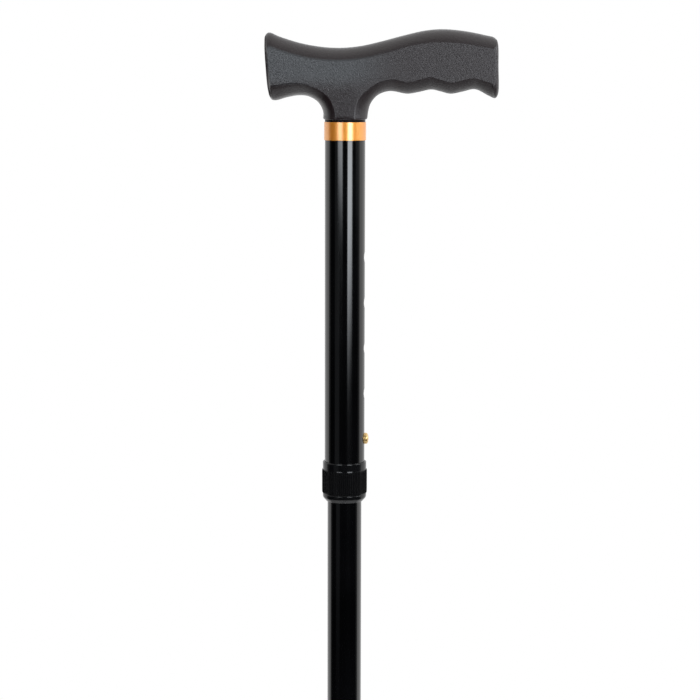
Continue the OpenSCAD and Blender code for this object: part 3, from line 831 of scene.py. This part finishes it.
# the stretch that shows as a loop when the joint is folded lies slack in the socket at rest
def slackCord(index):
    joint = next(j for j in frame["joints"] if j["name"] == f"fold_{index + 1}")
    seam = seams[index]
    outward = np.array(joint["pos_m"][:2]) / np.linalg.norm(joint["pos_m"][:2])
    share = np.linspace(0, 1, cord["rings"])
    turn = 180 * share ** 2 * (3 - 2 * share)
    rise = cord["zoneTop"] + (cord["zoneLow"] - cord["zoneTop"]) * share
    aside = np.interp(turn, [a for a, _ in slack], [s for _, s in slack])
    kernel = np.ones(cord["soften"]) / cord["soften"]  # softens the corners of the table
    aside = np.convolve(np.pad(aside, cord["soften"] // 2, "edge"), kernel, "valid")
    aside[[0, -1]] = 0
    radians = np.radians(turn)
    y = aside - fold["pivot"]
    folded = np.column_stack([y * np.cos(radians) - rise * np.sin(radians),
                              y * np.sin(radians) + rise * np.cos(radians)])
    ahead = np.gradient(folded, axis=0)
    ahead /= np.linalg.norm(ahead, axis=1)[:, None]
    square = np.abs(ahead[:, 0] * -np.sin(radians) + ahead[:, 1] * np.cos(radians))
    wide = 1 / np.clip(square, cord["leastSquare"], 1)
    lengths = np.concatenate([[0], np.cumsum(np.linalg.norm(np.diff(folded, axis=0), axis=1))])
    rings = [flatRing(*(outward * a), seam + h, outward, w) for a, h, w in zip(aside, rise, wide)][::-1]
    piece = cordTube(f"cordSlack{index + 1}", rings, lengths)
    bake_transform(piece)


cordLow, cordHigh = (corner.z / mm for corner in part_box("elastic_cord"))
for index, body in enumerate(sections):
    top = cordHigh if index == 0 else seams[index - 1] + cord["zoneLow"]
    bottom = cordLow if index == len(seams) else seams[index] + cord["zoneTop"]
    straightCord(f"cordRun{index + 1}", body, bottom, top)
for index in range(len(seams)):
    slackCord(index)
print("elastic cord made")


# rubber tip

tip = {
    "bore": 9.55, "sleeve": 12.15, "foot": 17.0, "footHigh": 6.0, "flare": 14.0, "height": 42.0,
    "floor": 12.5, "ring": 1.1, "ringLevels": (21.0, 28.0, 35.0), "ringRound": 0.6,
    "tread": (6.12, 8.5, 11.22, 13.6), "treadDeep": 1.6, "treadRounds": (0.35, 0.3),
    "footRounds": (1.6, 2.0), "flareRound": 4.0, "topRounds": (1.3, 0.8), "around": 144,
}


def makeTip():
    line = [(0, 0)]
    edge, deep = tip["treadRounds"]
    for inner, outer in zip(tip["tread"][::2], tip["tread"][1::2]):
        line += [(inner, 0, edge), (inner, tip["treadDeep"], deep),
                 (outer, tip["treadDeep"], deep), (outer, 0, edge)]
    lowRound, highRound = tip["footRounds"]
    wide, step, bead = tip["sleeve"], tip["ring"], tip["ringRound"]
    line += [(tip["foot"], 0, lowRound), (tip["foot"], tip["footHigh"], highRound),
             (wide, tip["flare"], tip["flareRound"])]
    for level in tip["ringLevels"]:
        line += [(wide, level - 2 * step, bead), (wide + step, level - step, bead),
                 (wide + step, level + step, bead), (wide, level + 2 * step, bead)]
    rim, mouth = tip["topRounds"]
    line += [(wide, tip["height"], rim), (tip["bore"], tip["height"], mouth),
             (tip["bore"], tip["floor"]), (0, tip["floor"])]
    piece = revolve("rubberTip", roundOff(line, False), "tipRubber", False, tip["around"])
    dress(piece, "tip_section", "tip_rubber", "rubber_tip")


makeTip()
print("rubber tip made")


# finishes of the pieces that keep their solids

kept = {
    "blackTube": ["handle_tube", "upper_tube", "shaft_tube_2", "shaft_tube_3", "shaft_tube_4"],
    "brightSteel": ["stem_pin", "cord_stop_top", "cord_stop_bottom", "tip_washer"],
    "paleNylon": ["lock_olive", "slide_bush"],
    "darkNylon": ["cord_anchor", "tip_plug"],
}
for name, members in kept.items():
    for member in members:
        for place in nodes[member].material_slots:
            place.material = finish[name]
print("solids painted")


# stage, light and camera

stage = {
    "floor": 0.9, "plain": 0.12, "fadeEnd": 0.98, "pale": (0.9, 0.9, 0.9, 1), "around": 96, "rings": 6,
    "dim": 0.006, "side": (0.067, 0.95, 0.50), "edge": (0.010, 0.125), "toe": (-0.17, -0.08, 0.14),
}


# a round floor that fades out towards its edge
def makeFloor():
    around, steps = stage["around"], stage["rings"]
    points, faces = [(0, 0, 0)], []
    for i in range(1, steps + 1):
        r = stage["floor"] * i / steps
        points += [(r * math.cos(2 * math.pi * k / around), r * math.sin(2 * math.pi * k / around), 0)
                   for k in range(around)]
    for k in range(around):
        n = (k + 1) % around
        faces.append([0, 1 + k, 1 + n])
        for i in range(steps - 1):
            a, b = 1 + i * around, 1 + (i + 1) * around
            faces.append([a + k, b + k, b + n, a + n])
    f = Finish("paleFloor")
    finish["paleFloor"] = f.material
    away = f.node("ShaderNodeVectorMath", {"operation": "LENGTH"}, {0: f.spot}, 1)
    fade = away.ramp(stage["plain"], stage["floor"] * stage["fadeEnd"])
    pale = f.node("ShaderNodeBsdfDiffuse", None, {"Color": stage["pale"]})
    clear = f.node("ShaderNodeBsdfTransparent")
    mixed = f.node("ShaderNodeMixShader", None, {0: fade, 1: pale, 2: clear})
    f.node("ShaderNodeOutputMaterial", None, {"Surface": mixed})
    floor = asMesh("floor", points, faces, "paleFloor")


# white behind the object, dim behind the camera
def makeWorld():
    world = bpy.data.worlds.new("studio")
    scene.world = world
    world.use_nodes = True
    g = Graph(world.node_tree)
    world.node_tree.nodes.clear()
    direction = g.node("ShaderNodeTexCoord", out="Generated")
    facing = g.node("ShaderNodeVectorMath", {"operation": "DOT_PRODUCT"}, {
        0: direction, 1: stage["side"]}, 1)
    white = facing.ramp(*stage["edge"])
    toe = facing.ramp(*stage["toe"])
    camera, glossy, through = (g.node("ShaderNodeLightPath", out=f"Is {kind} Ray")
                               for kind in ("Camera", "Glossy", "Transmission"))
    seen = camera.above(through).above(glossy * white)
    strength = (stage["dim"] + (1 - stage["dim"]) * white).above(toe).above(seen)
    light = g.node("ShaderNodeBackground", None, {"Color": (1, 1, 1, 1), "Strength": strength})
    g.node("ShaderNodeOutputWorld", None, {"Surface": light})


softbox = {"distance": 1.6, "edge": 0.22, "crownLow": 1.0, "crownHigh": 1.1, "tint": (0.955, 1.0, 1.055, 1)}
# angles in degrees and heights in metres; crown is the added glow of the upper part, for the handle
lamps = {
    "right": {"azimuth": 28.1, "half": 15.6, "low": 0.50, "high": 1.50,
              "glow": 7.0, "tilt": 5.0, "soft": 0.28, "crown": 0.1},
    "left": {"azimuth": -27.4, "half": 16.6, "low": 0.715, "high": 1.50,
             "glow": 4.4, "tilt": -5.0, "soft": 0.13, "crown": 0.25},
    "leftFaint": {"azimuth": -45.0, "half": 17.0, "low": 0.0, "high": 1.20,
                  "glow": 0.11, "tilt": 0.0, "soft": 0.40, "crown": 0.0},
    "rightFaint": {"azimuth": 77.0, "half": 17.0, "low": 0.64, "high": 1.40,
                   "glow": 0.2, "tilt": 0.0, "soft": 0.25, "crown": 48.0},
}


# a softbox with soft edges at its sides and its foot
def makeLamp(name, azimuth, half, low, high, glow, tilt, soft, crown):
    distance, tall = softbox["distance"], high - low
    light = bpy.data.lights.new(name, "AREA")
    light.shape = "RECTANGLE"
    light.size = 2 * distance * math.tan(math.radians(half))
    light.size_y = tall
    light.energy = math.pi * light.size * light.size_y
    light.use_nodes = True
    g = Graph(light.node_tree)
    light.node_tree.nodes.clear()
    place = g.node("ShaderNodeNewGeometry", out="Parametric")
    u, v = place.part("X"), place.part("Y")
    sides = (0.5 - abs(u - 0.5)).ramp(0.0, softbox["edge"])
    foot = v.ramp(0.0, soft / tall)
    top = v.ramp((softbox["crownLow"] - low) / tall, (softbox["crownHigh"] - low) / tall)
    strength = glow * (sides * foot) * (1 + crown * top)
    glowing = g.node("ShaderNodeEmission", None, {"Color": softbox["tint"], "Strength": strength})
    g.node("ShaderNodeOutputLight", None, {"Surface": glowing})
    lamp = bpy.data.objects.new(name, light)
    turn = math.radians(azimuth)
    lamp.location = (distance * math.sin(turn), -distance * math.cos(turn), (low + high) / 2)
    lamp.rotation_euler = (Matrix.Rotation(turn, 4, "Z") @ Matrix.Rotation(math.pi / 2, 4, "X")
                           @ Matrix.Rotation(math.radians(tilt), 4, "Z")).to_euler()
    lamp.visible_camera = False
    scene.collection.objects.link(lamp)


view = {
    "place": (0.00293, -1.15, 0.9165), "down": 7.566, "roll": 0.12, "focal": 2088.0, "frame": 700,
    "sensor": 36.0, "near": 0.05, "far": 50,
}


def makeCamera():
    data = bpy.data.cameras.new("photoView")
    data.sensor_width = view["sensor"]
    data.lens = view["focal"] * view["sensor"] / view["frame"]
    data.clip_start, data.clip_end = view["near"], view["far"]
    camera = bpy.data.objects.new("photoView", data)
    down, roll = math.radians(view["down"]), math.radians(view["roll"])
    side, ahead = Vector((1, 0, 0)), Vector((0, math.cos(down), -math.sin(down)))
    upward = side.cross(ahead)
    right = side * math.cos(roll) + upward * math.sin(roll)
    top = upward * math.cos(roll) - side * math.sin(roll)
    turned = Matrix((right, top, -ahead)).transposed().to_4x4()
    camera.matrix_world = Matrix.Translation(view["place"]) @ turned
    scene.collection.objects.link(camera)
    scene.camera = camera


scene.view_settings.view_transform = "Standard"
makeFloor()
makeWorld()
for name, sizes in lamps.items():
    makeLamp(name, **sizes)
makeCamera()
print("stage, light and camera set")
